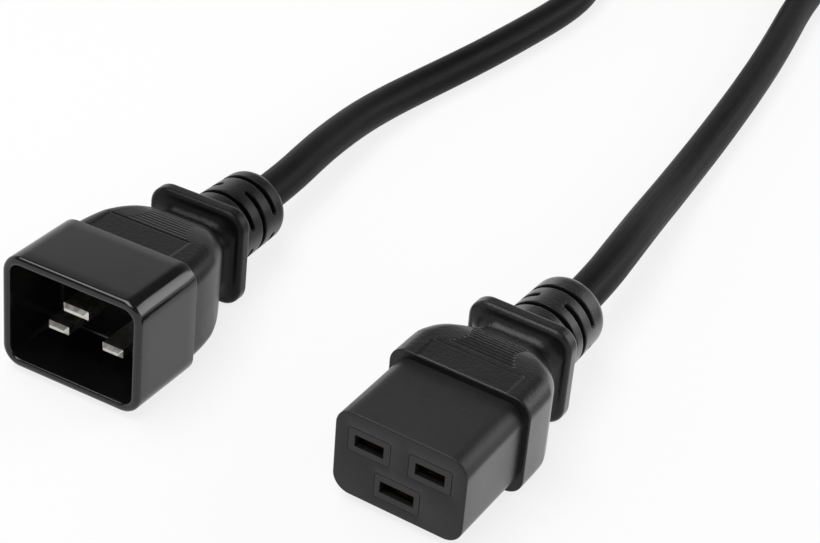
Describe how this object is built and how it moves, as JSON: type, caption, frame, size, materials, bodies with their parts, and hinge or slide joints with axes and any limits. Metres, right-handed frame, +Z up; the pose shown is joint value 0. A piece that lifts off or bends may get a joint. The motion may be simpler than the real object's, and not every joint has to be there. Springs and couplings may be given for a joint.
{
  "type": "mains lead",
  "caption": "Black mains lead with a shrouded blade plug at one end and a slotted connector block at the other, both overmoulded, with its spare length in a tied coil.",
  "frame": {"origin": "centre of the underside of the box round both ends, on the surface that they lie on", "axes": "+Z up, the mating faces of both ends look along -Y, the plug is on the -X side and the connector on the +X side"},
  "size_m": [0.1518, 0.3756, 0.0264],
  "materials": {
    "shroud_plastic": "hard moulded black, satin gloss, polished rim",
    "moulded_pvc": "black flexible PVC, fine mould grain",
    "insert_plastic": "black hard plastic, matte",
    "nickel_plate": "nickel plate, bright, faintly brushed",
    "contact_brass": "sprung brass strip",
    "copper_strand": "bare stranded copper",
    "brown_insulation": "brown PVC core",
    "blue_insulation": "blue PVC core",
    "earth_insulation": "green and yellow PVC core",
    "cable_sheath": "smooth black PVC sheath, satin",
    "tie_band": "black woven band"
  },
  "bodies": {
    "root": {"plug_shroud": "shroud_plastic", "plug_overmould": "moulded_pvc", "plug_line_blade": "nickel_plate", "plug_line_insulation": "brown_insulation", "plug_line_conductor": "copper_strand", "plug_neutral_blade": "nickel_plate", "plug_neutral_insulation": "blue_insulation", "plug_neutral_conductor": "copper_strand", "plug_earth_blade": "nickel_plate", "plug_earth_insulation": "earth_insulation", "plug_earth_conductor": "copper_strand", "connector_insert": "insert_plastic", "connector_overmould": "moulded_pvc", "connector_line_contact": "contact_brass", "connector_line_insulation": "brown_insulation", "connector_line_conductor": "copper_strand", "connector_neutral_contact": "contact_brass", "connector_neutral_insulation": "blue_insulation", "connector_neutral_conductor": "copper_strand", "connector_earth_contact": "contact_brass", "connector_earth_insulation": "earth_insulation", "connector_earth_conductor": "copper_strand", "cable_from_plug": "cable_sheath", "cable_from_connector": "cable_sheath", "cable_coil": "cable_sheath", "cable_tie": "tie_band"}
  },
  "joints": []
}
